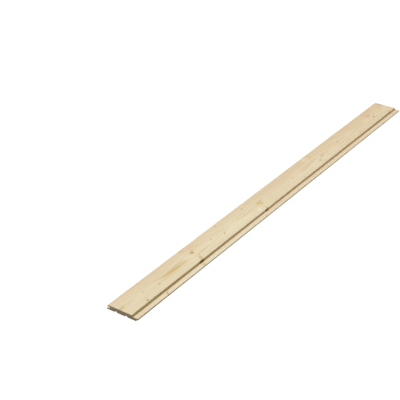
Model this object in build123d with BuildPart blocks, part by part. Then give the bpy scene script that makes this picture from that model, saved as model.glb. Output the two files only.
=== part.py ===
from build123d import *

import os
from math import radians, tan

# Tongue and groove lining board, one piece of planed spruce, in millimetres.
# The board lies flat, face up: X runs across it towards the tongue, Y runs along it, Z is up.
# The origin is the middle of the underside.

# Driving sizes of the board
board_length = 1500.0
cover_width = 90.0
board_thickness = 12.5

# Tongue: how far it stands out past its lower shoulder, its thickness and its rounded tip
tongue_length = 6.0
tongue_thickness = 4.0
tongue_tip_radius = 1.2

# Groove: the cheek under it, its depth from the cheek's edge and the room round the tongue
cheek_thickness = 3.9
groove_depth = 9.0
groove_clearance = 0.25
groove_corner_radius = 0.4

# Upper lip: how far its edge stands back from the edge of the cheek below it
lip_setback = 3.0

# Shadow gap: its width between two laid faces, the slope of its wall and the round at its foot
shadow_gap = 16.0
gap_wall_angle = 45.0
gap_foot_radius = 0.8

# Relief grooves along the underside, round-bottomed, the first measured from the cheek's edge
relief_count = 2
relief_first = 28.5
relief_spacing = 31.5
relief_width = 7.5
relief_depth = 3.0

# Small rounds that the planer leaves along the edges
lip_edge_radius = 0.6
face_edge_radius = 0.5
cheek_edge_radius = 0.8
shoulder_edge_radius = 0.4

# Levels above the underside
groove_floor_level = cheek_thickness
tongue_under_level = groove_floor_level + groove_clearance
tongue_top_level = tongue_under_level + tongue_thickness
groove_roof_level = tongue_top_level + groove_clearance

# Places across the board, counted from the cheek's edge
tongue_tip_place = cover_width + tongue_length
face_end_place = lip_setback + cover_width - shadow_gap
gap_wall_run = (board_thickness - tongue_top_level) / tan(radians(gap_wall_angle))
gap_foot_place = face_end_place + gap_wall_run
relief_places = [relief_first + number * relief_spacing for number in range(relief_count)]

# A relief groove is part of a circle that dips below the underside
relief_radius = (relief_width**2 / 4 + relief_depth**2) / (2 * relief_depth)
relief_centre_level = relief_depth - relief_radius

# Long corners of the section that are rounded: place across, level and radius
rounded_corners = [
    (lip_setback, board_thickness, lip_edge_radius),
    (lip_setback, groove_roof_level, lip_edge_radius),
    (face_end_place, board_thickness, face_edge_radius),
    (gap_foot_place, tongue_top_level, gap_foot_radius),
    (tongue_tip_place, tongue_top_level, tongue_tip_radius),
    (tongue_tip_place, tongue_under_level, tongue_tip_radius),
    (cover_width, 0, shoulder_edge_radius),
    (0, 0, cheek_edge_radius),
    (0, groove_floor_level, cheek_edge_radius),
    (groove_depth, groove_floor_level, groove_corner_radius),
    (groove_depth, groove_roof_level, groove_corner_radius),
]

# The section is drawn across the board's middle, from the cheek's edge, and grows both ways
section_plane = Plane(origin=(-tongue_tip_place / 2, 0, 0), x_dir=(1, 0, 0), z_dir=(0, -1, 0))
from_corner = (Align.MIN, Align.MIN)

with BuildPart() as board:
    with BuildSketch(section_plane) as section:
        # Planed blank, from the cheek's edge to the tip of the tongue
        Rectangle(tongue_tip_place, board_thickness, align=from_corner)

        # Step that sets the upper lip back from the cheek
        with Locations((0, groove_roof_level)):
            Rectangle(
                lip_setback,
                board_thickness - groove_roof_level,
                align=from_corner,
                mode=Mode.SUBTRACT,
            )

        # Groove that takes the next board's tongue
        with Locations((0, groove_floor_level)):
            Rectangle(
                groove_depth,
                groove_roof_level - groove_floor_level,
                align=from_corner,
                mode=Mode.SUBTRACT,
            )

        # Shadow gap over the tongue, with its sloping wall
        with BuildLine():
            Polyline(
                (face_end_place, board_thickness),
                (gap_foot_place, tongue_top_level),
                (tongue_tip_place, tongue_top_level),
                (tongue_tip_place, board_thickness),
                close=True,
            )
        make_face(mode=Mode.SUBTRACT)

        # Step under the tongue, where the next board's cheek comes in
        with Locations((cover_width, 0)):
            Rectangle(tongue_length, tongue_under_level, align=from_corner, mode=Mode.SUBTRACT)

        # Relief grooves of the underside
        with Locations(*[(place, relief_centre_level) for place in relief_places]):
            Circle(relief_radius, mode=Mode.SUBTRACT)

        # Rounds along the long edges
        for place, level, radius in rounded_corners:
            corner = section.vertices().sort_by_distance((place, level))[0]
            fillet(corner, radius)

    extrude(amount=board_length / 2, both=True)

board.part.label = "board"

os.makedirs("parts", exist_ok=True)
export_step(board.part, "parts/board.step")
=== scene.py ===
import logging
import math
from dataclasses import dataclass, replace
from enum import Enum

import bmesh
import bpy
from mathutils import Matrix, Vector, geometry, noise


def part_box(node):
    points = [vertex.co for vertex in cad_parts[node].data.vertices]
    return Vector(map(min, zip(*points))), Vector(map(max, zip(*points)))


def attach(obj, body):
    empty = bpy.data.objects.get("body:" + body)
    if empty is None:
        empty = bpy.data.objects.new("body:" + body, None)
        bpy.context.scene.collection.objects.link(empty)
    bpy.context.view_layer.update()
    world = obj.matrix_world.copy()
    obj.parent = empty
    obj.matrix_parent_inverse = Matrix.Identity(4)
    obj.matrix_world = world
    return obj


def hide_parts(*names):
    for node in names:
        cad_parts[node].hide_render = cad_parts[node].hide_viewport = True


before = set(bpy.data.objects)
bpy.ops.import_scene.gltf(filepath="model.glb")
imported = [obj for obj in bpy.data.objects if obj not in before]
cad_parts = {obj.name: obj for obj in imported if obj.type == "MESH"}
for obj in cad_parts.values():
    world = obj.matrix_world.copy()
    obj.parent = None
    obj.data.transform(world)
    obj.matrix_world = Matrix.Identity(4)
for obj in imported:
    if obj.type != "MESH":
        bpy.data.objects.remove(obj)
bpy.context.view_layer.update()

# Tongue and groove lining board of planed spruce, in metres.
# The board lies flat, face up: X runs across it towards the tongue, Y along it, Z is up.
# Places across are counted from the cheek's edge, levels from the underside, runs from mid-length.

LOG = logging.getLogger("board")
MM = 0.001

# Names that the frame knows, and the name of the skin's bake map
BOARD_NODE = "board"
BODY = "root"
BAKE_MAP = "OFBake"

# Shared by the shaders: what smooth noise varies round, and the white of the surroundings
NOISE_MEAN = 0.5
WHITE = (1.0, 1.0, 1.0)


class Wire:
    """A number socket of a shader that takes part in Python arithmetic."""

    def __init__(self, tree: "ShaderTree", socket: bpy.types.NodeSocket) -> None:
        """Keeps the socket and the tree that it belongs to."""
        self.tree = tree
        self.socket = socket

    def __add__(self, other: "Number") -> "Wire":
        """Sum of this and another."""
        return self.tree.math("ADD", self, other)

    def __radd__(self, other: "Number") -> "Wire":
        """Sum of a plain number and this."""
        return self.tree.math("ADD", other, self)

    def __sub__(self, other: "Number") -> "Wire":
        """This less another."""
        return self.tree.math("SUBTRACT", self, other)

    def __rsub__(self, other: "Number") -> "Wire":
        """A plain number less this."""
        return self.tree.math("SUBTRACT", other, self)

    def __mul__(self, other: "Number") -> "Wire":
        """Product of this and another."""
        return self.tree.math("MULTIPLY", self, other)

    def __rmul__(self, other: "Number") -> "Wire":
        """Product of a plain number and this."""
        return self.tree.math("MULTIPLY", other, self)

    def __truediv__(self, other: "Number") -> "Wire":
        """This divided by another."""
        return self.tree.math("DIVIDE", self, other)

    def __rtruediv__(self, other: "Number") -> "Wire":
        """A plain number divided by this."""
        return self.tree.math("DIVIDE", other, self)

    def floor(self) -> "Wire":
        """The whole number at or below this."""
        return self.tree.math("FLOOR", self)

    def larger(self, other: "Number") -> "Wire":
        """The larger of this and another."""
        return self.tree.math("MAXIMUM", self, other)

    def eased(self, start: float, end: float) -> "Wire":
        """Runs smoothly from 0 to 1.

        Args:
            start: the value where it leaves 0.
            end: the value where it reaches 1, which may be the smaller of the two.

        Returns:
            The eased value.
        """
        settings = {"interpolation_type": "SMOOTHSTEP", "clamp": True}
        rising = start < end
        sockets = {
            "Value": self,
            "From Min": min(start, end),
            "From Max": max(start, end),
            "To Min": 0.0 if rising else 1.0,
            "To Max": 1.0 if rising else 0.0,
        }
        return self.tree.wire("ShaderNodeMapRange", settings, sockets)


Number = Wire | float
Span = tuple[float, float]
Triple = tuple[float, float, float]
Feed = Wire | bpy.types.NodeSocket | float | Triple
Settings = dict[str, object]
Sockets = dict[str | int, Feed]


class ShaderTree:
    """A node tree that is built by method calls and by expressions on wires."""

    def __init__(self, tree: bpy.types.NodeTree) -> None:
        """Clears the tree and starts afresh."""
        self.tree = tree
        self.tree.nodes.clear()

    def node(self, kind: str, settings: Settings, sockets: Sockets) -> bpy.types.Node:
        """Adds a node.

        Args:
            kind: Blender's name of the node type.
            settings: its properties, which are set before any socket.
            sockets: values or links for its inputs, by the input's name or number.

        Returns:
            The new node.
        """
        made = self.tree.nodes.new(kind)
        for name, value in settings.items():
            setattr(made, name, value)
        for key, feed in sockets.items():
            self.feed(self.pick(made.inputs, key), feed)
        return made

    @staticmethod
    def pick(sockets: bpy.types.bpy_prop_collection, key: str | int) -> bpy.types.NodeSocket:
        """Finds one socket of a node.

        Args:
            sockets: the node's inputs or outputs.
            key: the socket's number, or its name among those in use.

        Returns:
            The socket.
        """
        if isinstance(key, int):
            return sockets[key]
        return next(socket for socket in sockets if socket.name == key and socket.enabled)

    def feed(self, target: bpy.types.NodeSocket, feed: Feed) -> None:
        """Links a socket, or sets its value.

        Args:
            target: the input socket.
            feed: a wire, an output socket, a number, or three numbers of a vector or a colour.
        """
        if isinstance(feed, Wire):
            self.tree.links.new(feed.socket, target)
        elif isinstance(feed, bpy.types.NodeSocket):
            self.tree.links.new(feed, target)
        elif isinstance(feed, tuple) and target.type == "RGBA":
            target.default_value = (*feed, 1.0)
        else:
            target.default_value = feed

    def output(
        self, kind: str, settings: Settings, sockets: Sockets, name: str
    ) -> bpy.types.NodeSocket:
        """Adds a node and gives its output of this name."""
        return self.pick(self.node(kind, settings, sockets).outputs, name)

    def wire(self, kind: str, settings: Settings, sockets: Sockets) -> Wire:
        """Adds a node and wraps its first output in use."""
        made = self.node(kind, settings, sockets)
        return Wire(self, next(socket for socket in made.outputs if socket.enabled))

    def math(self, operation: str, *feeds: Number) -> Wire:
        """Adds a Math node that works on these values, in order."""
        return self.wire("ShaderNodeMath", {"operation": operation}, dict(enumerate(feeds)))

    def vector(self, operation: str, *feeds: Feed) -> bpy.types.NodeSocket:
        """Adds a Vector Math node that works on these vectors, in order, and gives a vector."""
        sockets = dict(enumerate(feeds))
        return self.output("ShaderNodeVectorMath", {"operation": operation}, sockets, "Vector")

    def length(self, vector: Feed) -> Wire:
        """Length of a vector."""
        return self.wire("ShaderNodeVectorMath", {"operation": "LENGTH"}, {0: vector})

    def dot(self, vector: Feed, direction: Triple) -> Wire:
        """How far a vector reaches along a direction, times the direction's length."""
        sockets = {0: vector, 1: direction}
        return self.wire("ShaderNodeVectorMath", {"operation": "DOT_PRODUCT"}, sockets)

    def axes(self, vector: bpy.types.NodeSocket) -> tuple[Wire, Wire, Wire]:
        """The three parts of a vector."""
        made = self.node("ShaderNodeSeparateXYZ", {}, {"Vector": vector})
        return tuple(Wire(self, socket) for socket in made.outputs)

    def mix(
        self, factor: Feed, first: Feed, second: Feed, blend: str = "MIX"
    ) -> bpy.types.NodeSocket:
        """Mixes two colours.

        Args:
            factor: share of the second colour.
            first: the colour where the factor is 0.
            second: the colour where the factor is 1.
            blend: the Mix node's way of blending.

        Returns:
            The mixed colour.
        """
        settings = {"data_type": "RGBA", "blend_type": blend}
        sockets = {"Factor": factor, "A": first, "B": second}
        return self.output("ShaderNodeMix", settings, sockets, "Result")

    def drawn_out(self, spot: Feed, across: float, along: float) -> bpy.types.NodeSocket:
        """Scales a place so that a pattern of size 1 takes these sizes in the wood."""
        return self.vector("MULTIPLY", spot, (1 / across, 1 / along, 1 / across))

    def noise(self, place: Feed, detail: float, roughness: float = 0.5) -> Wire:
        """Smooth noise round NOISE_MEAN, at a place that is already scaled to its grain."""
        sockets = {"Vector": place, "Scale": 1.0, "Detail": detail, "Roughness": roughness}
        return self.wire("ShaderNodeTexNoise", {}, sockets)

    def noise_vector(self, place: Feed, detail: float) -> bpy.types.NodeSocket:
        """Adds three such noises at once, as the parts of a vector."""
        sockets = {"Vector": place, "Scale": 1.0, "Detail": detail}
        return self.output("ShaderNodeTexNoise", {}, sockets, "Color")

    def seen(self) -> Wire:
        """Tells the rays that show a surface from those that light it.

        Returns:
            1 for rays from the camera, straight or by way of gloss or glass, and 0 for the rest.
        """
        rays = self.node("ShaderNodeLightPath", {}, {})
        camera, glossy, through = (
            Wire(self, rays.outputs[name])
            for name in ("Is Camera Ray", "Is Glossy Ray", "Is Transmission Ray")
        )
        return camera.larger(glossy).larger(through)


def linear(red: int, green: int, blue: int) -> Triple:
    """A screen colour of 0 to 255 as the linear colour that a shader takes.

    Args:
        red: red as seen on screen.
        green: green as seen on screen.
        blue: blue as seen on screen.

    Returns:
        The linear colour.
    """
    low, slope, offset, power = 0.04045, 12.92, 0.055, 2.4
    shares = [channel / 255 for channel in (red, green, blue)]
    return tuple(
        share / slope if share <= low else ((share + offset) / (1 + offset)) ** power
        for share in shares
    )


class Tone(Enum):
    """Colours of the spruce, as each looks in plain light."""

    EARLY = (226, 216, 183)
    LATE = (208, 184, 136)
    WARM = (216, 192, 156)
    CREAM = (234, 226, 199)
    YELLOW = (219, 200, 148)
    OCHRE = (197, 164, 106)
    ROSE = (222, 186, 152)
    # The next two tones are painted warm bounce light for the shaded wall of the shadow gap, not
    # colours of the wood
    WALL_BOUNCE_NEAR = (228, 201, 138)
    WALL_BOUNCE_FAR = (243, 212, 164)
    BARK = (152, 112, 42)
    RESIN = (148, 125, 44)
    GREY = (160, 138, 100)
    OLIVE = (122, 102, 58)
    BROWN = (138, 96, 43)
    SAWN = (216, 201, 165)
    SAWN_LATE = (168, 144, 107)

    def colour(self) -> Triple:
        """The linear colour."""
        return linear(*self.value)

    def over(self, ground: "Tone") -> Triple:
        """What the ground's colour is multiplied by to give this one."""
        return tuple(top / below for top, below in zip(self.colour(), ground.colour()))


def stain(
    tree: ShaderTree, mask: Feed, colour: Feed, tone: Tone, ground: Tone = Tone.EARLY
) -> bpy.types.NodeSocket:
    """Stains a colour under a mask, with a tone that was chosen on the ground's tone."""
    return tree.mix(mask, colour, tone.over(ground), "MULTIPLY")


def in_scene(name: str, data: bpy.types.ID) -> bpy.types.Object:
    """Adds an object to the scene.

    Args:
        name: the object's name.
        data: its mesh, lens or light.

    Returns:
        The object.
    """
    added = bpy.data.objects.new(name, data)
    bpy.context.scene.collection.objects.link(added)
    return added


def unevenness(spot: Vector, run: float, across: float, along: float = 1.0) -> float:
    """How the wood varies round 0 at a point, in a pattern of this size across and along."""
    return noise.noise(Vector((spot.x / across, run / along, spot.y / across)))


@dataclass(frozen=True)
class Corner:
    """A long corner of the section: its place, its level and how round it is."""

    place: float
    level: float
    radius: float = 0.0


@dataclass(frozen=True)
class SkinPoint:
    """A point of the section's outline, the way out of the wood there, and if it is on an arris."""

    spot: Vector
    outward: Vector
    arris: bool


@dataclass(frozen=True)
class BoardSection:
    """The board's section. Its width over the tongue and its thickness come from the frame."""

    width: float
    thickness: float
    tongue_length: float = 6.0 * MM
    tongue_thickness: float = 4.0 * MM
    tongue_tip_radius: float = 1.2 * MM
    cheek_thickness: float = 3.9 * MM
    groove_depth: float = 9.0 * MM
    groove_clearance: float = 0.25 * MM
    groove_corner_radius: float = 0.4 * MM
    lip_setback: float = 3.0 * MM
    shadow_gap: float = 16.0 * MM
    gap_wall_angle: float = math.radians(45)
    gap_foot_radius: float = 0.8 * MM
    relief_count: int = 2
    relief_first: float = 28.5 * MM
    relief_spacing: float = 31.5 * MM
    relief_width: float = 7.5 * MM
    relief_depth: float = 3.0 * MM
    lip_edge_radius: float = 0.6 * MM
    face_edge_radius: float = 0.5 * MM
    cheek_edge_radius: float = 0.8 * MM
    shoulder_edge_radius: float = 0.4 * MM
    arc_step: float = math.radians(20)
    relief_arc_step: float = math.radians(16)
    face_cell: float = 1.6 * MM
    hidden_cell: float = 3.2 * MM
    shows_past: float = 1.0 * MM

    @property
    def cover(self) -> float:
        """Width that one laid board covers."""
        return self.width - self.tongue_length

    @property
    def tongue_under(self) -> float:
        """Level of the tongue's underside."""
        return self.cheek_thickness + self.groove_clearance

    @property
    def tongue_top(self) -> float:
        """Level of the tongue's top."""
        return self.tongue_under + self.tongue_thickness

    @property
    def groove_roof(self) -> float:
        """Level of the groove's roof."""
        return self.tongue_top + self.groove_clearance

    @property
    def face_end(self) -> float:
        """Place where the flat face ends and the wall of the shadow gap begins."""
        return self.lip_setback + self.cover - self.shadow_gap

    @property
    def gap_foot(self) -> float:
        """Place of the foot of the shadow gap's wall."""
        return self.face_end + (self.thickness - self.tongue_top) / math.tan(self.gap_wall_angle)

    def outline(self) -> list[SkinPoint]:
        """The section's outline, once round from the groove's inner roof corner over the face.

        Returns:
            Points in order, close enough together to carry wear and bends of the grain.
        """
        stretches = self.rounded_corners()
        points: list[SkinPoint] = []
        for here, after in zip(stretches, stretches[1:] + stretches[:1]):
            inner = self.between(here[-1], after[0])
            points += [(spot, len(here) > 1) for spot in here]
            points += [(spot, False) for spot in inner]
        skin = []
        count = len(points)
        for number, (spot, arris) in enumerate(points):
            along = points[(number + 1) % count][0] - points[number - 1][0]
            skin.append(SkinPoint(spot, Vector((-along.y, along.x)).normalized(), arris))
        return skin

    def rounded_corners(self) -> list[list[Vector]]:
        """The outline's corners as arcs, with the underside's relief grooves among them.

        Returns:
            One list of points for each corner or groove, in order round the section.
        """
        corners = [
            Corner(self.groove_depth, self.groove_roof, self.groove_corner_radius),
            Corner(self.lip_setback, self.groove_roof, self.lip_edge_radius),
            Corner(self.lip_setback, self.thickness, self.lip_edge_radius),
            Corner(self.face_end, self.thickness, self.face_edge_radius),
            Corner(self.gap_foot, self.tongue_top, self.gap_foot_radius),
            Corner(self.width, self.tongue_top, self.tongue_tip_radius),
            Corner(self.width, self.tongue_under, self.tongue_tip_radius),
            Corner(self.cover, self.tongue_under),
            Corner(self.cover, 0.0, self.shoulder_edge_radius),
            Corner(0.0, 0.0, self.cheek_edge_radius),
            Corner(0.0, self.cheek_thickness, self.cheek_edge_radius),
            Corner(self.groove_depth, self.cheek_thickness, self.groove_corner_radius),
        ]
        arcs = []
        for number, corner in enumerate(corners):
            after = corners[(number + 1) % len(corners)]
            arcs.append(self.arc(corners[number - 1], corner, after))
            if corner.level == 0.0 and after.level == 0.0:
                arcs += [self.relief(index) for index in reversed(range(self.relief_count))]
        return arcs

    def arc(self, before: Corner, corner: Corner, after: Corner) -> list[Vector]:
        """Rounds one corner.

        Args:
            before: the corner before it.
            corner: the corner itself.
            after: the corner after it.

        Returns:
            Points of the arc, or the sharp corner alone.
        """
        tip = Vector((corner.place, corner.level))
        if corner.radius == 0.0:
            return [tip]
        back = (Vector((before.place, before.level)) - tip).normalized()
        ahead = (Vector((after.place, after.level)) - tip).normalized()
        half = math.acos(max(-1.0, min(1.0, back.dot(ahead)))) / 2
        reach = corner.radius / math.tan(half)
        centre = tip + (back + ahead).normalized() * corner.radius / math.sin(half)
        first = tip + back * reach - centre
        turn = math.pi - 2 * half
        clockwise = back.x * ahead.y - back.y * ahead.x < 0
        steps = max(2, math.ceil(turn / self.arc_step))
        points = []
        for step in range(steps + 1):
            angle = turn * step / steps * (1 if clockwise else -1)
            cosine, sine = math.cos(angle), math.sin(angle)
            spoke = Vector((first.x * cosine - first.y * sine, first.x * sine + first.y * cosine))
            points.append(centre + spoke)
        return points

    def relief(self, index: int) -> list[Vector]:
        """One round-bottomed relief groove of the underside.

        Args:
            index: its number from the cheek's side.

        Returns:
            Points from its tongue side to its cheek side.
        """
        place = self.relief_first + index * self.relief_spacing
        radius = (self.relief_width**2 / 4 + self.relief_depth**2) / (2 * self.relief_depth)
        centre = Vector((place, self.relief_depth - radius))
        start = math.atan2(-centre.y, self.relief_width / 2)
        sweep = math.pi - 2 * start
        steps = math.ceil(sweep / self.relief_arc_step)
        angles = [start + sweep * step / steps for step in range(steps + 1)]
        return [centre + radius * Vector((math.cos(a), math.sin(a))) for a in angles]

    def between(self, start: Vector, end: Vector) -> list[Vector]:
        """Divides a straight stretch, finer on the side that shows when the board is laid.

        Args:
            start: where the stretch begins.
            end: where it ends.

        Returns:
            The points inside it.
        """
        cell = self.face_cell if self.shows(start) and self.shows(end) else self.hidden_cell
        steps = max(1, round((end - start).length / cell))
        return [start.lerp(end, step / steps) for step in range(1, steps)]

    def shows(self, spot: Vector) -> bool:
        """Tells the face side from the groove and the underside.

        Args:
            spot: a point of the outline.

        Returns:
            Whether it is on the face side.
        """
        past = self.shows_past
        above = spot.x > self.lip_setback - past and spot.y > self.tongue_under + past
        outside = spot.y > self.groove_roof + past or spot.x > self.groove_depth + past
        return above and outside


@dataclass(frozen=True)
class Hollow:
    """A shallow place where the cutter tore short fibres out beside a knot, in metres."""

    place: float
    run: float
    across: float
    along: float
    depth: float
    evenness: float = 0.75
    raggedness: float = 0.5
    grain_across: float = 1.0 * MM
    grain_along: float = 3.0 * MM

    def depth_at(self, spot: Vector, run: float) -> float:
        """How deep the wood is torn at a point.

        Args:
            spot: place and level on the section.
            run: how far along the board.

        Returns:
            Depth below the planed surface.
        """
        across = (spot.x - self.place) / self.across
        along = (run - self.run) / self.along
        inside = 1 - across * across - along * along
        if inside <= 0:
            return 0.0
        grain = unevenness(spot, run, self.grain_across, self.grain_along)
        return self.depth * inside * (self.evenness + self.raggedness * grain)


@dataclass(frozen=True)
class BoardSkin:
    """The board's mesh: its section swept along its length, worn at the arrises, with sawn ends."""

    section: BoardSection
    length: float
    hollows: tuple[Hollow, ...]
    coarse_step: float = 4.2 * MM
    fine_step: float = 0.8 * MM
    step_growth: float = 0.16
    broken_edge: float = 0.35 * MM
    ragged: float = 0.28 * MM
    ragged_least: float = 0.35
    ragged_grain: float = 1.1 * MM
    drawn_share: float = 0.5
    arris_wear: float = 0.06 * MM
    wear_across: float = 6.0 * MM
    wear_along: float = 30.0 * MM
    saw_pitch: float = 2.6 * MM
    saw_depth: float = 0.06 * MM
    saw_inset: float = 1.6
    saw_unevenness: float = 0.6
    saw_grain: float = 0.8 * MM
    blade_level: float = -0.16
    end_cell: float = 1.0 * MM
    end_margin: float = 0.35 * MM
    weld: float = 1e-7
    map_margin: float = 0.004
    skin_top: float = 0.955
    hidden_share: float = 0.6
    sharp_angle: float = math.radians(35)
    sawn_slot: int = 1

    def build(self, name: str) -> bpy.types.Object:
        """Builds the mesh and its map.

        Args:
            name: the piece's name.

        Returns:
            The board, whose skin has the first material and whose ends have the sawn one.
        """
        outline = self.section.outline()
        runs = self.stations()
        mesh = bpy.data.meshes.new(name)
        builder = bmesh.new()
        bake_map = builder.loops.layers.uv.new(BAKE_MAP)
        rings = [[builder.verts.new(self.worn(point, run)) for point in outline] for run in runs]
        girth = self.girth(outline)
        for number, (ring, after) in enumerate(zip(rings, rings[1:])):
            for side in range(len(outline)):
                beside = (side + 1) % len(outline)
                face = builder.faces.new((ring[side], ring[beside], after[beside], after[side]))
                spread = (girth[side], girth[side + 1], girth[side + 1], girth[side])
                along = (runs[number], runs[number], runs[number + 1], runs[number + 1])
                for loop, share, run in zip(face.loops, spread, along):
                    loop[bake_map].uv = self.skin_spot(share, run, runs[number])
        for end in (0, -1):
            self.close_end(builder, bake_map, rings[end], runs[end])
        bmesh.ops.recalc_face_normals(builder, faces=builder.faces)
        builder.to_mesh(mesh)
        builder.free()
        mesh.shade_smooth()
        mesh.set_sharp_from_angle(angle=self.sharp_angle)
        return in_scene(name, mesh)

    def stations(self) -> list[float]:
        """Runs of the skin's rings, close together near the ends and the torn places.

        Returns:
            Runs from the near end to the far one, with mid-length among them.
        """
        half = self.length / 2
        near = [-run for run in self.walk(-1, half)]
        return near[::-1] + [0.0] + self.walk(1, half)

    def walk(self, side: int, half: float) -> list[float]:
        """Steps from mid-length to one end.

        Args:
            side: -1 towards the near end, 1 towards the far one.
            half: half of the board's length.

        Returns:
            Distances from mid-length, the last one at the end itself.
        """
        runs = []
        run = 0.0
        last = half - self.broken_edge
        while True:
            gaps = [abs(side * run - hollow.run) - hollow.along for hollow in self.hollows]
            nearest = max(0.0, min([last - run, *gaps]))
            run += min(self.coarse_step, self.fine_step + self.step_growth * nearest)
            if run > last - self.fine_step / 2:
                return [*runs, last, half]
            runs.append(run)

    def girth(self, outline: list[SkinPoint]) -> list[float]:
        """Share of the way round the skin at each point, where hidden stretches count for less.

        Args:
            outline: the section's outline.

        Returns:
            Shares from 0 to 1, one more than there are points.
        """
        sums = [0.0]
        for point, after in zip(outline, outline[1:] + outline[:1]):
            seen = self.section.shows(point.spot) and self.section.shows(after.spot)
            stretch = (after.spot - point.spot).length
            sums.append(sums[-1] + stretch * (1.0 if seen else self.hidden_share))
        return [total / sums[-1] for total in sums]

    def skin_spot(self, share: float, run: float, face_run: float) -> Span:
        """Where a corner of a skin face lies on the map, one half of the length beside the other.

        Args:
            share: share of the way round the skin.
            run: the corner's run.
            face_run: the lowest run of its face, which tells the half that it belongs to.

        Returns:
            The place on the map.
        """
        half = self.length / 2
        strip = 0 if face_run < 0 else 1
        begin = -half if strip == 0 else 0.0
        margin = self.map_margin
        across = (strip + margin * 2 + share * (1 - 4 * margin)) / 2
        return across, margin + (run - begin) / half * (self.skin_top - margin)

    def end_spot(self, spot: Vector, run: float) -> Span:
        """Where a point of an end lies on the map, above the strip of its half of the length.

        Args:
            spot: place and level on the end.
            run: the end's run.

        Returns:
            The place on the map.
        """
        margin = self.map_margin
        strip = 0.0 if run < 0 else 0.5
        low, high = self.skin_top + 2 * margin, 1 - margin
        across = strip + margin + spot.x / self.section.width * (0.5 - 2 * margin)
        return across, low + spot.y / self.section.thickness * (high - low)

    def worn(self, point: SkinPoint, run: float) -> Vector:
        """A point of the skin, set in where the wood is torn, nibbled or broken at the end.

        Args:
            point: its point of the outline.
            run: how far along the board.

        Returns:
            The point in the board's frame.
        """
        spot = point.spot
        depth = max([0.0, *(hollow.depth_at(spot, run) for hollow in self.hollows)])
        if point.arris:
            wear = unevenness(spot, run, self.wear_across, self.wear_along)
            depth += self.arris_wear * max(0.0, wear)
        drawn_in = 0.0
        if abs(run) == self.length / 2:
            grain = abs(unevenness(spot, run, self.ragged_grain))
            depth += self.ragged * (self.ragged_least + (1 - self.ragged_least) * grain)
            drawn_in = self.ragged * self.drawn_share * grain
        inner = spot - point.outward * depth
        return self.in_frame(inner, run, drawn_in)

    def in_frame(self, spot: Vector, run: float, inset: float) -> Vector:
        """A point of the section in the board's frame, set in towards mid-length."""
        return Vector((spot.x - self.section.width / 2, run - math.copysign(inset, run), spot.y))

    def close_end(
        self,
        builder: bmesh.types.BMesh,
        bake_map: bmesh.types.BMLayerItem,
        ring: list[bmesh.types.BMVert],
        run: float,
    ) -> None:
        """Closes one sawn end with a skin of small triangles that carries the saw's marks.

        Args:
            builder: the mesh in the making.
            bake_map: its map.
            ring: the last ring's vertices.
            run: the end's run.
        """
        shift = self.section.width / 2
        rim = [Vector((vertex.co.x + shift, vertex.co.z)) for vertex in ring]
        order = list(range(len(rim)))
        inside_only = 1
        spots, _, triangles, origins, _, _ = geometry.delaunay_2d_cdt(
            rim + self.end_grid(rim), [], [order], inside_only, self.weld
        )
        vertices = []
        for spot, origin in zip(spots, origins):
            if origin and origin[0] < len(ring):
                vertices.append(ring[origin[0]])
            else:
                marked = self.in_frame(spot, run, self.saw_mark(spot, run))
                vertices.append(builder.verts.new(marked))
        for triangle in triangles:
            face = builder.faces.new([vertices[index] for index in triangle])
            face.material_index = self.sawn_slot
            for loop in face.loops:
                corner = loop.vert.co
                loop[bake_map].uv = self.end_spot(Vector((corner.x + shift, corner.z)), run)

    def end_grid(self, rim: list[Vector]) -> list[Vector]:
        """Points inside an end's rim.

        Args:
            rim: the rim, in order.

        Returns:
            Points of a staggered grid that lie clear of the rim.
        """
        rows = round(self.section.thickness / self.end_cell)
        columns = round(self.section.width / self.end_cell)
        inner = []
        for row in range(rows):
            for column in range(columns + 1):
                place = (column + 0.5 * (row % 2)) * self.end_cell
                spot = Vector((place, (row + 0.5) * self.end_cell))
                if self.inside(spot, rim) and self.clear_of(spot, rim):
                    inner.append(spot)
        return inner

    @staticmethod
    def inside(spot: Vector, rim: list[Vector]) -> bool:
        """Counts how often a line from a point towards the tongue crosses an outline.

        Args:
            spot: the point.
            rim: the outline, which is closed.

        Returns:
            Whether the point is inside.
        """
        crossings = 0
        for start, end in zip(rim, rim[1:] + rim[:1]):
            if (start.y > spot.y) != (end.y > spot.y):
                meet = start.x + (spot.y - start.y) * (end.x - start.x) / (end.y - start.y)
                crossings += meet > spot.x
        return crossings % 2 == 1

    def clear_of(self, spot: Vector, rim: list[Vector]) -> bool:
        """Measures a point's distance from an outline.

        Args:
            spot: the point.
            rim: the outline, which is closed.

        Returns:
            Whether the point keeps the end's margin all round.
        """
        for start, end in zip(rim, rim[1:] + rim[:1]):
            along = end - start
            share = max(0.0, min(1.0, (spot - start).dot(along) / along.length_squared))
            if (start + along * share - spot).length < self.end_margin:
                return False
        return True

    def saw_mark(self, spot: Vector, run: float) -> float:
        """How far a point of an end is set in by the saw, whose teeth leave arcs round its shaft.

        Args:
            spot: place and level on the end.
            run: the end's run.

        Returns:
            The depth.
        """
        shaft = Vector((self.section.width / 2, self.blade_level))
        swing = (spot - shaft).length / self.saw_pitch
        grain = unevenness(spot, run, self.saw_grain)
        return self.saw_depth * (
            self.saw_inset + math.sin(math.tau * swing) + self.saw_unevenness * grain
        )


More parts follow.
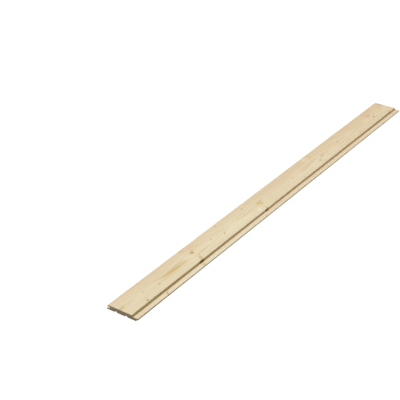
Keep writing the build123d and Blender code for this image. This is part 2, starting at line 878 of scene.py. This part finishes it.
@dataclass(frozen=True)
class Mark:
    """A soft-edged spot of colour in the wood. Its places and sizes are in millimetres."""

    place: float
    run: float
    across: float
    along: float
    tone: Tone
    strength: float
    turn: float = 0.0
    core: float = 0.2
    level: float = 12.5
    depth: float = 3.0

    def mask(self, tree: ShaderTree, spot: Feed) -> Wire:
        """Where the mark is, up to its strength."""
        return self.distance(tree, spot).eased(1.0, self.core) * self.strength

    def distance(self, tree: ShaderTree, spot: Feed) -> Wire:
        """Distance from the mark's middle, where 1 is its edge.

        Args:
            tree: the shader's tree.
            spot: the place in the board, in millimetres.

        Returns:
            The distance.
        """
        away = tree.vector("SUBTRACT", spot, (self.place, self.run, self.level))
        if self.turn == 0.0:
            size = (1 / self.across, 1 / self.along, 1 / self.depth)
            return tree.length(tree.vector("MULTIPLY", away, size))
        cosine, sine = math.cos(math.radians(self.turn)), math.sin(math.radians(self.turn))
        sockets = {
            "X": tree.dot(away, (cosine / self.across, sine / self.across, 0.0)),
            "Y": tree.dot(away, (-sine / self.along, cosine / self.along, 0.0)),
            "Z": tree.dot(away, (0.0, 0.0, 1 / self.depth)),
        }
        return tree.length(tree.output("ShaderNodeCombineXYZ", {}, sockets, "Vector"))

    def paint(self, tree: ShaderTree, spot: Feed, colour: Feed) -> bpy.types.NodeSocket:
        """Stains a colour with the mark."""
        return stain(tree, self.mask(tree, spot), colour, self.tone)


@dataclass(frozen=True)
class Patch(Mark):
    """A mark that fades all the way out from its middle."""

    core: float = 0.0


@dataclass(frozen=True)
class TongueMark(Mark):
    """A mark on the top of the tongue and the floor of the shadow gap."""

    level: float = 8.2


@dataclass(frozen=True)
class WallKnot(Mark):
    """A dark knot in the sloping wall of the shadow gap."""

    level: float = 10.2
    depth: float = 6.0


@dataclass(frozen=True)
class Knot(Mark):
    """A knot: a long rounded body that runs from the pith up through the board."""

    level: float = 25.0
    depth: float = 46.0
    swerve: float = 0.8
    swell_reach: float = 4.5
    halo: Tone = Tone.YELLOW
    halo_strength: float = 0.35
    halo_span: Span = (3.2, 0.9)
    heart_edge: Span = (1.1, 0.84)
    heart_span: Span = (0.0, 0.8)
    heart_least: float = 0.65
    bark: Tone = Tone.BROWN
    bark_inner: Span = (0.7, 0.9)
    bark_outer: Span = (1.16, 1.0)
    bark_share: float = 0.6

    def push(self, tree: ShaderTree, spot: Feed, rings: Wire) -> Wire:
        """Makes the growth rings swerve round the knot.

        Args:
            tree: the shader's tree.
            spot: the place in the board, in millimetres.
            rings: the distance from the pith.

        Returns:
            The distance from the pith, with its swell at the knot.
        """
        across, along = self.across * self.swell_reach, self.along * self.swell_reach
        swell = replace(self, across=across, along=along).distance(tree, spot).eased(1.0, 0.0)
        return rings + swell * self.swerve

    def paint(self, tree: ShaderTree, spot: Feed, colour: Feed) -> bpy.types.NodeSocket:
        """Stains a colour with the halo, the heart and the dark bark ring of the knot.

        Args:
            tree: the shader's tree.
            spot: the place in the board, in millimetres.
            colour: the wood's colour so far.

        Returns:
            The colour with the knot in it.
        """
        distance = self.distance(tree, spot)
        halo = distance.eased(*self.halo_span) * self.halo_strength
        colour = stain(tree, halo, colour, self.halo)
        darker = distance.eased(*self.heart_span) * (1 - self.heart_least) + self.heart_least
        heart = distance.eased(*self.heart_edge) * darker * self.strength
        colour = stain(tree, heart, colour, self.tone)
        bark = distance.eased(*self.bark_inner) * distance.eased(*self.bark_outer)
        return stain(tree, bark * (self.bark_share * self.strength), colour, self.bark)


# Knots through the board: place, run, sizes across and along, tone, strength
KNOTS = (
    Knot(36.0, -433, 3.3, 3.8, Tone.RESIN, 0.7, swerve=1.3, halo_strength=0.7),
    Knot(40.0, 394, 2.4, 3.0, Tone.OLIVE, 0.85, swerve=0.9, halo_strength=0.4),
    Knot(49.5, 641, 2.3, 3.6, Tone.OLIVE, 0.85, swerve=0.8, halo_strength=0.6),
    Knot(33.0, 632, 4.0, 7.6, Tone.BROWN, 0.3, swerve=1.0, halo_strength=0.25),
    Knot(53.0, -602, 2.1, 3.6, Tone.OLIVE, 0.34, swerve=0.6, halo_strength=0.4, turn=20),
    Knot(71.0, -677, 3.0, 3.4, Tone.OLIVE, 0.5, swerve=0.6, halo_strength=0.4),
    Knot(42.0, -656, 2.0, 3.2, Tone.OLIVE, 0.33, swerve=0.4, halo_strength=0.15),
    Knot(13.0, -283, 2.2, 2.4, Tone.OLIVE, 0.38, swerve=0.5, halo_strength=0.3),
    Knot(52.0, -297, 2.0, 4.6, Tone.OLIVE, 0.43, swerve=0.5, halo_strength=0.25, turn=40),
    Knot(40.0, -348, 2.0, 2.5, Tone.GREY, 0.34, swerve=0.4, halo_strength=0.3),
    Knot(57.0, 247, 2.1, 4.2, Tone.OLIVE, 0.5, swerve=0.5, halo_strength=0.35, turn=30),
    Knot(45.0, 280, 3.4, 7.4, Tone.GREY, 0.36, swerve=0.7, halo_strength=0.2),
)

# Dark knots that the cutter bared in the wall of the shadow gap, and the darker wood round one
WALL_KNOTS = (
    WallKnot(79.6, -395, 4.4, 70, Tone.BROWN, 0.16, core=0.0),
    WallKnot(79.6, -449, 4.2, 14.0, Tone.BARK, 0.96, core=0.65),
    WallKnot(79.4, -117, 3.6, 11.0, Tone.RESIN, 0.9, core=0.6),
    WallKnot(79.2, 41, 2.7, 7.5, Tone.RESIN, 0.24, core=0.4),
    WallKnot(78.8, 705, 2.7, 7.0, Tone.RESIN, 0.5, core=0.5),
)

# Broad faint patches of the face and the tongue, with painted shade at the far end of the face and
# on the tongue's tip side near the near end
PATCHES = (
    Patch(58, -240, 28, 140, Tone.CREAM, 0.45),
    Patch(44, -464, 34, 24, Tone.CREAM, 0.6, turn=12),
    Mark(64, -131, 12, 19, Tone.CREAM, 0.9, core=0.1, turn=25),
    Mark(62, 215, 18, 40, Tone.CREAM, 0.6, core=0.1),
    Mark(13, 219, 20, 19, Tone.CREAM, 0.65, core=0.3, turn=-14),
    Mark(17, 245, 20, 11, Tone.YELLOW, 0.5, turn=-14),
    Mark(64, 275, 14, 30, Tone.CREAM, 0.5, core=0.1),
    Patch(56, 340, 17, 40, Tone.CREAM, 0.45),
    Patch(60, 486, 9, 26, Tone.CREAM, 0.5),
    Patch(54, 718, 9, 18, Tone.CREAM, 0.5),
    Patch(16, -560, 16, 60, Tone.ROSE, 0.06),
    Patch(17, -415, 15, 44, Tone.ROSE, 0.3),
    Patch(22, 30, 20, 150, Tone.WARM, 0.25),
    Patch(40, 70, 22, 110, Tone.ROSE, 0.16, turn=3),
    Patch(46, -40, 14, 40, Tone.YELLOW, 0.15),
    Patch(72, -50, 9, 46, Tone.ROSE, 0.25),
    Patch(26, 175, 20, 40, Tone.ROSE, 0.2),
    Patch(68, 515, 7, 44, Tone.ROSE, 0.25),
    Patch(10, 415, 14, 30, Tone.ROSE, 0.2),
    Patch(14, 500, 14, 50, Tone.ROSE, 0.2),
    Patch(12, 660, 13, 50, Tone.BROWN, 0.1),
    # painted shade: a grey patch along the far end of the face
    Patch(22, 744, 22, 12, Tone.GREY, 0.25),
    TongueMark(90, 0, 9, 760, Tone.CREAM, 0.45, core=0.9),
    TongueMark(90, 160, 9, 560, Tone.ROSE, 0.2, core=0.5),
    TongueMark(90, -700, 9, 90, Tone.ROSE, 0.15),
    TongueMark(88, -45, 7, 22, Tone.YELLOW, 0.4),
    # painted shade: a dark brown streak on the tongue's tip side near the near end, for the shade
    # beside and under the tongue
    Mark(97, -720, 3.2, 110, Tone.BROWN, 0.8, core=0.6, level=5.4, depth=3.2),
)

# Stained flame in the near third of the face
FLAME = (
    Patch(44.5, -536, 17.0, 88, Tone.YELLOW, 1.0, turn=-2),
    Patch(43.0, -548, 8.5, 46, Tone.OCHRE, 0.46, turn=-3),
    Patch(46.5, -516, 6.5, 40, Tone.OCHRE, 0.46, turn=1),
    Mark(51.5, -568, 2.6, 40, Tone.OCHRE, 0.4, turn=-1),
    Mark(37.2, -584, 2.6, 32, Tone.OCHRE, 0.5, turn=-6),
    Mark(37.6, -512, 2.0, 46, Tone.OCHRE, 0.4, turn=1),
    Mark(46.0, -476, 6.5, 34, Tone.YELLOW, 0.85, core=0.1, turn=-1),
)

# Swirl in the grain before mid-length, with the rosy line and the ochre trail beside it
SWIRL = (
    Mark(45.2, -160, 2.2, 58, Tone.ROSE, 0.95, turn=0.6),
    Mark(43.5, -99, 14.5, 27, Tone.YELLOW, 1.0, core=0.15),
    Mark(39.5, -101, 4.0, 9.0, Tone.OCHRE, 0.7),
    Mark(38.3, -88, 3.6, 8.0, Tone.OCHRE, 0.65),
    Mark(48.5, -97, 3.6, 9.0, Tone.OCHRE, 0.65),
    Mark(35.6, -76, 5.0, 10, Tone.YELLOW, 0.6),
    Mark(75.0, -108, 4.6, 9.0, Tone.OCHRE, 0.8, turn=20),
    Mark(66.0, -106, 9.0, 5.0, Tone.YELLOW, 0.6, turn=-14),
)

# Small stains and streaks, roughly from the near end to the far one
MARKS = (
    Patch(41.0, -746, 9.0, 32, Tone.YELLOW, 0.75, turn=5),
    Mark(40.5, -744, 5.5, 22, Tone.OCHRE, 0.32, turn=6),
    Mark(62.0, -670, 7.0, 7.0, Tone.YELLOW, 0.6, turn=30),
    TongueMark(88.4, -617, 3.4, 4.2, Tone.BROWN, 0.9),
    Mark(94.5, -621, 5.0, 4.6, Tone.BROWN, 0.6, level=7.8),
    Mark(52.5, -632, 1.3, 38, Tone.ROSE, 0.5),
    Mark(35.5, -640, 1.6, 48, Tone.YELLOW, 0.6, turn=-1),
    Mark(72.5, -441, 7.0, 9.0, Tone.OCHRE, 0.7, turn=20),
    Mark(65.0, -436, 8.0, 8.0, Tone.OCHRE, 0.6, turn=20),
    Mark(57.0, -431, 6.0, 7.0, Tone.YELLOW, 0.8),
    Mark(52.2, -407, 2.3, 36, Tone.OCHRE, 0.65),
    Mark(31.0, -424, 6.5, 11, Tone.YELLOW, 0.7),
    Mark(37.0, -434, 7.5, 9.0, Tone.YELLOW, 0.6),
    Mark(9.0, -447, 9.0, 14, Tone.YELLOW, 0.85),
    Mark(28.0, -394, 6.0, 18, Tone.YELLOW, 0.45),
    TongueMark(91.0, -454, 7.0, 11, Tone.OCHRE, 0.7),
    Mark(57.0, -305, 2.8, 8.0, Tone.YELLOW, 0.6, turn=40),
    Mark(21.0, -159, 1.9, 10.0, Tone.GREY, 0.8),
    Mark(30.0, -38, 4.5, 10.0, Tone.YELLOW, 0.6),
    Mark(60.0, -62, 5.0, 18, Tone.YELLOW, 0.4),
    Mark(73.5, 39, 5.0, 7.0, Tone.ROSE, 0.7),
    Mark(28.0, 32, 2.2, 3.6, Tone.GREY, 0.35),
    Mark(73.0, 118, 5.0, 11.0, Tone.OCHRE, 0.45),
    Mark(45.5, 93, 6.0, 11.0, Tone.YELLOW, 0.9, turn=8),
    Patch(14.0, 240, 5.0, 8.0, Tone.OLIVE, 0.12),
    Mark(48.6, 387, 1.8, 3.2, Tone.GREY, 0.5),
    Mark(44.0, 622, 4.0, 15, Tone.ROSE, 0.5),
    Mark(39.0, 664, 8.0, 26, Tone.YELLOW, 0.7, turn=10),
    Mark(72.0, 713, 7.0, 11.0, Tone.OCHRE, 0.5),
    Mark(28.0, 722, 9.0, 20, Tone.OCHRE, 0.2),
    TongueMark(86.0, 710, 4.4, 6.0, Tone.BROWN, 0.5),
)

# Torn places beside the three darkest knots of the wall
HOLLOWS = (
    Hollow(79.8 * MM, -449 * MM, 2.8 * MM, 11 * MM, 0.45 * MM),
    Hollow(79.4 * MM, -117 * MM, 2.4 * MM, 9 * MM, 0.3 * MM),
    Hollow(79.2 * MM, 705 * MM, 2.0 * MM, 6 * MM, 0.25 * MM),
)


@dataclass(frozen=True)
class GrowthRings:
    """How the tree grew: its pith below the board and its yearly rings, in millimetres."""

    pith_place: float = 44.0
    pith_level: float = -62.0
    ring_width: float = 2.3
    drift: float = 9.0
    drift_across: float = 160.0
    drift_along: float = 460.0
    wobble: float = 0.9
    wobble_across: float = 14.0
    wobble_along: float = 150.0
    uneven_years: float = 3.0
    uneven_span: float = 17.0
    late_rise: Span = (0.25, 0.9)
    late_stop: Span = (1.0, 0.93)
    weakest_year: float = 0.35

    def radius(self, tree: ShaderTree, spot: Feed) -> Wire:
        """Distance from the pith, which wanders as the trunk does, and swells at the knots.

        Args:
            tree: the shader's tree.
            spot: the place in the board, in millimetres.

        Returns:
            The distance.
        """
        wide = tree.drawn_out(spot, self.drift_across, self.drift_along)
        sway = tree.vector("MULTIPLY", tree.noise_vector(wide, detail=1.0), (2 * self.drift,) * 3)
        offset = (-self.pith_place - self.drift, 0.0, -self.pith_level - self.drift)
        moved = tree.vector("ADD", tree.vector("ADD", spot, sway), offset)
        place, _, level = tree.axes(moved)
        reach = tree.math("SQRT", place * place + level * level)
        small = tree.drawn_out(spot, self.wobble_across, self.wobble_along)
        reach = reach + tree.noise(small, detail=2.0) * (2 * self.wobble)
        for knot in KNOTS:
            reach = knot.push(tree, spot, reach)
        return reach

    def latewood(self, tree: ShaderTree, radius: Wire) -> Wire:
        """The dense outer part of each ring, which builds up softly and stops sharply.

        Args:
            tree: the shader's tree.
            radius: distance from the pith.

        Returns:
            A mask, stronger in some years than in others.
        """
        sockets = {"X": radius / self.uneven_span}
        outward = tree.output("ShaderNodeCombineXYZ", {}, sockets, "Vector")
        uneven = tree.noise(outward, detail=0.0)
        years = radius / self.ring_width + uneven * self.uneven_years
        year = years.floor()
        season = years - year
        settings = {"noise_dimensions": "1D"}
        strength = tree.wire("ShaderNodeTexWhiteNoise", settings, {"W": year})
        band = season.eased(*self.late_rise) * season.eased(*self.late_stop)
        return band * (strength * (1 - self.weakest_year) + self.weakest_year)


@dataclass(frozen=True)
class SpruceFinish:
    """What planed skin and sawn ends share: the place in the board, the rings and the surface.

    Spans and pattern sizes are in millimetres, as the place is, and the relief in metres.
    """

    name: str
    half_width: float
    rings: GrowthRings = GrowthRings()
    ior: float = 1.45
    specular: float = 0.35
    fibre_detail: float = 3.0
    fibre_roughness: float = 0.6
    relief: float = 0.03 * MM
    bump_strength: float = 0.6

    def start(self) -> tuple[bpy.types.Material, ShaderTree, bpy.types.NodeSocket]:
        """Makes the material and the place that all its patterns read.

        Returns:
            The material, its tree, and the place in millimetres from the cheek's edge.
        """
        material = bpy.data.materials.new(self.name)
        material.use_nodes = True
        tree = ShaderTree(material.node_tree)
        here = tree.output("ShaderNodeTexCoord", {}, {}, "Object")
        shift = (self.half_width / MM, 0.0, 0.0)
        return material, tree, tree.vector("MULTIPLY_ADD", here, (1 / MM,) * 3, shift)

    def close(self, tree: ShaderTree, colour: Feed, roughness: Wire, height: Wire) -> None:
        """Adds the surface itself.

        Args:
            tree: the shader's tree.
            colour: the wood's colour.
            roughness: how dull it is.
            height: its fine relief, as shares of the finish's own.
        """
        sockets = {"Strength": self.bump_strength, "Distance": self.relief, "Height": height}
        normal = tree.output("ShaderNodeBump", {}, sockets, "Normal")
        sockets = {
            "Base Color": colour,
            "Roughness": roughness,
            "IOR": self.ior,
            "Specular IOR Level": self.specular,
            "Normal": normal,
        }
        surface = tree.output("ShaderNodeBsdfPrincipled", {}, sockets, "BSDF")
        tree.node("ShaderNodeOutputMaterial", {}, {"Surface": surface})

    def fibres(self, tree: ShaderTree, spot: Feed, across: float, along: float) -> Wire:
        """Fine noise of these sizes across and along the grain."""
        fine = tree.drawn_out(spot, across, along)
        return tree.noise(fine, self.fibre_detail, self.fibre_roughness)


@dataclass(frozen=True)
class PlanedSpruce(SpruceFinish):
    """The planed skin: pale wood with low-contrast rings, knots, streaks and tinted patches."""

    ring_contrast: float = 0.54
    fibre_size: Span = (0.45, 34.0)
    fibre_span: Span = (0.45, 0.8)
    fibre_contrast: float = 0.3
    streak_size: Span = (2.2, 260.0)
    streak_span: Span = (0.5, 0.75)
    streak_contrast: float = 0.34
    waver: Triple = (0.35, 0.12, 0.35)
    cloud_size: Span = (34.0, 150.0)
    cloud_shift: float = 30.0
    cloud_share: float = 0.5
    warm_least: float = 0.06
    warm_cheek: Span = (60.0, 6.0)
    warm_cheek_share: float = 0.38
    warm_far: Span = (-300.0, 560.0)
    warm_far_share: float = 0.36
    warm_near: Span = (-330.0, -640.0)
    warm_near_share: float = 0.16
    wall_top: Span = (76.8, 77.5)
    wall_foot: Span = (82.4, 81.2)
    wall_level: Span = (7.4, 8.3)
    wall_change: Span = (-600.0, -60.0)
    dullness: float = 0.62
    late_gloss: float = 0.1
    fibre_dullness: float = 0.16
    late_height: float = 0.5
    fibre_height: float = 0.8

    def material(self) -> bpy.types.Material:
        """Builds the finish.

        Returns:
            The material.
        """
        material, tree, spot = self.start()
        late = self.rings.latewood(tree, self.rings.radius(tree, spot))
        fibre = self.fibres(tree, spot, *self.fibre_size)
        colour = self.ground(tree, spot, late, fibre)
        ripple = tree.noise_vector(tree.vector("MULTIPLY", spot, self.waver), detail=2.0)
        bend = tree.vector("SUBTRACT", ripple, (NOISE_MEAN,) * 3)
        bent = tree.vector("ADD", spot, bend)
        for mark in PATCHES + FLAME + SWIRL + MARKS + KNOTS:
            colour = mark.paint(tree, bent, colour)
        # painted bounce light on the wall of the shadow gap
        colour = self.bounce_tinted_wall(tree, spot, colour)
        for knot in WALL_KNOTS:
            colour = knot.paint(tree, bent, colour)
        sheen = (fibre - NOISE_MEAN) * self.fibre_dullness
        roughness = self.dullness - late * self.late_gloss + sheen
        self.close(tree, colour, roughness, late * self.late_height + fibre * self.fibre_height)
        return material

    def ground(
        self, tree: ShaderTree, spot: Feed, late: Wire, fibre: Wire
    ) -> bpy.types.NodeSocket:
        """Wood without its marks, warmer on the cheek's side and towards both ends.

        Args:
            tree: the shader's tree.
            spot: the place in the board, in millimetres.
            late: mask of the latewood.
            fibre: fine fibres.

        Returns:
            The colour.
        """
        colour = tree.mix(late * self.ring_contrast, Tone.EARLY.colour(), Tone.LATE.colour())
        lines = fibre.eased(*self.fibre_span) * self.fibre_contrast
        colour = stain(tree, lines, colour, Tone.LATE)
        streak = self.fibres(tree, spot, *self.streak_size)
        lines = streak.eased(*self.streak_span) * self.streak_contrast
        colour = stain(tree, lines, colour, Tone.LATE)
        cloud = tree.noise(tree.drawn_out(spot, *self.cloud_size), detail=2.0) - NOISE_MEAN
        place, run, _ = tree.axes(spot)
        warm = (place + cloud * self.cloud_shift).eased(*self.warm_cheek) * self.warm_cheek_share
        warm = warm + run.eased(*self.warm_far) * self.warm_far_share
        warm = warm + run.eased(*self.warm_near) * self.warm_near_share
        warm = warm + cloud * self.cloud_share + self.warm_least
        return stain(tree, warm.larger(0.0), colour, Tone.WARM)

    def bounce_tinted_wall(self, tree: ShaderTree, spot: Feed, colour: Feed) -> bpy.types.NodeSocket:
        """Tints the wall of the shadow gap with painted warm bounce light, yellower at the near end
        and redder towards the far one.

        Args:
            tree: the shader's tree.
            spot: the place in the board, in millimetres.
            colour: the wood's colour so far.

        Returns:
            The colour with the painted bounce light on the wall.
        """
        place, run, level = tree.axes(spot)
        wall = place.eased(*self.wall_top) * place.eased(*self.wall_foot)
        # painted bounce light: the warm tint stands in for light bounced between the wood surfaces
        # into the shaded wall, not a colour of the wood
        near, far = Tone.WALL_BOUNCE_NEAR.over(Tone.EARLY), Tone.WALL_BOUNCE_FAR.over(Tone.EARLY)
        bounce_tint = tree.mix(run.eased(*self.wall_change), near, far)
        return tree.mix(wall * level.eased(*self.wall_level), colour, bounce_tint, "MULTIPLY")


@dataclass(frozen=True)
class SawnSpruce(SpruceFinish):
    """The sawn ends: open end grain, darker and browner, with the rings cut across."""

    relief: float = 0.08 * MM
    bump_strength: float = 0.7
    ring_contrast: float = 0.8
    pore_size: Span = (0.35, 8.0)
    pore_span: Span = (0.4, 0.75)
    pore_contrast: float = 0.5
    dullness: float = 0.78
    pore_dullness: float = 0.15
    late_height: float = 0.4

    def material(self) -> bpy.types.Material:
        """Builds the finish.

        Returns:
            The material.
        """
        material, tree, spot = self.start()
        late = self.rings.latewood(tree, self.rings.radius(tree, spot))
        pore = self.fibres(tree, spot, *self.pore_size)
        colour = tree.mix(late * self.ring_contrast, Tone.SAWN.colour(), Tone.SAWN_LATE.colour())
        holes = pore.eased(*self.pore_span) * self.pore_contrast
        colour = stain(tree, holes, colour, Tone.SAWN_LATE, ground=Tone.SAWN)
        roughness = self.dullness + (pore - NOISE_MEAN) * self.pore_dullness
        self.close(tree, colour, roughness, pore + late * self.late_height)
        return material


@dataclass(frozen=True)
class FloorFinish:
    """The floor: matt, and lifted to white for the camera but for the board's shadow."""

    name: str = "pale_floor"
    colour: Triple = (0.40, 0.40, 0.40)
    lift: float = 0.85
    glow: float = 1.18

    def material(self) -> bpy.types.Material:
        """Builds the finish.

        Returns:
            The material.
        """
        material = bpy.data.materials.new(self.name)
        material.use_nodes = True
        tree = ShaderTree(material.node_tree)
        matt = tree.output("ShaderNodeBsdfDiffuse", {}, {"Color": self.colour}, "BSDF")
        sockets = {"Color": WHITE, "Strength": self.glow}
        white = tree.output("ShaderNodeEmission", {}, sockets, "Emission")
        sockets = {"Fac": tree.seen() * self.lift, 1: matt, 2: white}
        surface = tree.output("ShaderNodeMixShader", {}, sockets, "Shader")
        tree.node("ShaderNodeOutputMaterial", {}, {"Surface": surface})
        return material


@dataclass(frozen=True)
class LiningBoard:
    """The board as one piece: its skin and its two finishes."""

    name: str = "spruce_board"

    def build(self) -> bpy.types.Object:
        """Builds the board over its solid in the frame.

        Returns:
            The board.
        """
        low, high = (Vector(corner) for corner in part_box(BOARD_NODE))
        size = high - low
        section = BoardSection(width=size.x, thickness=size.z)
        board = BoardSkin(section, size.y, HOLLOWS).build(self.name)
        board.data.materials.append(PlanedSpruce("planed_spruce", size.x / 2).material())
        board.data.materials.append(SawnSpruce("sawn_spruce", size.x / 2).material())
        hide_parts(BOARD_NODE)
        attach(board, BODY)
        return board


@dataclass(frozen=True)
class Studio:
    """Camera, lamp, surroundings and floor."""

    camera_azimuth: float = math.radians(33.45)
    camera_elevation: float = math.radians(29.59)
    camera_roll: float = math.radians(1.33)
    camera_distance: float = 3.0208
    camera_aim: Triple = (-0.1658, -0.1669, 0.0)
    sensor: float = 36.0
    focal_length: float = 92.94
    key_towards: Triple = (-0.66, 0.28, 0.70)
    key_share: float = 0.74
    key_spread: float = math.radians(26)
    fill_share: float = 0.26
    floor_half: float = 20.0
    floor_level: float = -0.0002
    floor_finish: FloorFinish = FloorFinish()

    def camera(self) -> bpy.types.Object:
        """Sets up the camera at the photograph's angle.

        Returns:
            The camera.
        """
        level = math.cos(self.camera_elevation)
        forward = Vector(
            (
                -math.sin(self.camera_azimuth) * level,
                math.cos(self.camera_azimuth) * level,
                -math.sin(self.camera_elevation),
            )
        )
        lens = bpy.data.cameras.new("camera")
        lens.sensor_width = self.sensor
        lens.lens = self.focal_length
        facing = forward.to_track_quat("-Z", "Y").to_matrix()
        turned = facing @ Matrix.Rotation(self.camera_roll, 3, "Z")
        stand = Vector(self.camera_aim) - forward * self.camera_distance
        camera = in_scene("camera", lens)
        camera.matrix_world = Matrix.Translation(stand) @ turned.to_4x4()
        bpy.context.scene.camera = camera
        return camera

    def key_lamp(self) -> bpy.types.Object:
        """Sets up the one broad soft lamp, at the upper left behind the board.

        Returns:
            The lamp.
        """
        towards = Vector(self.key_towards).normalized()
        light = bpy.data.lights.new("key", "SUN")
        light.energy = self.key_share * math.pi / towards.z
        light.angle = self.key_spread
        lamp = in_scene("key", light)
        lamp.matrix_world = towards.to_track_quat("Z", "Y").to_matrix().to_4x4()
        return lamp

    def surroundings(self) -> bpy.types.World:
        """Sets up an even pale world that the camera and mirror-like rays see as white.

        Returns:
            The world.
        """
        world = bpy.data.worlds.new("studio")
        world.use_nodes = True
        tree = ShaderTree(world.node_tree)
        strength = tree.seen() * (1 - self.fill_share) + self.fill_share
        sockets = {"Color": WHITE, "Strength": strength}
        sky = tree.output("ShaderNodeBackground", {}, sockets, "Background")
        tree.node("ShaderNodeOutputWorld", {}, {"Surface": sky})
        bpy.context.scene.world = world
        return world

    def floor(self) -> bpy.types.Object:
        """Lays a pale floor that reads white and keeps a soft shadow.

        Returns:
            The floor.
        """
        half = self.floor_half
        corners = ((-half, -half), (half, -half), (half, half), (-half, half))
        mesh = bpy.data.meshes.new("floor")
        mesh.from_pydata([(x, y, self.floor_level) for x, y in corners], [], [(0, 1, 2, 3)])
        mesh.materials.append(self.floor_finish.material())
        floor = in_scene("floor", mesh)
        return floor

    def build(self) -> list[bpy.types.Object]:
        """Sets up everything round the board.

        Returns:
            The camera, the lamp and the floor.
        """
        bpy.context.scene.view_settings.view_transform = "Standard"
        self.surroundings()
        return [self.camera(), self.key_lamp(), self.floor()]


def report(piece: bpy.types.Object) -> None:
    """Logs what was built."""
    facts = f"{len(piece.data.polygons)} faces" if piece.type == "MESH" else piece.type.lower()
    LOG.info("%s: %s", piece.name, facts)


def main() -> None:
    """Builds the board and the studio round it."""
    logging.basicConfig(level=logging.INFO, format="%(name)s %(message)s")
    report(LiningBoard().build())
    for item in Studio().build():
        report(item)


if __name__ == "__main__":
    main()
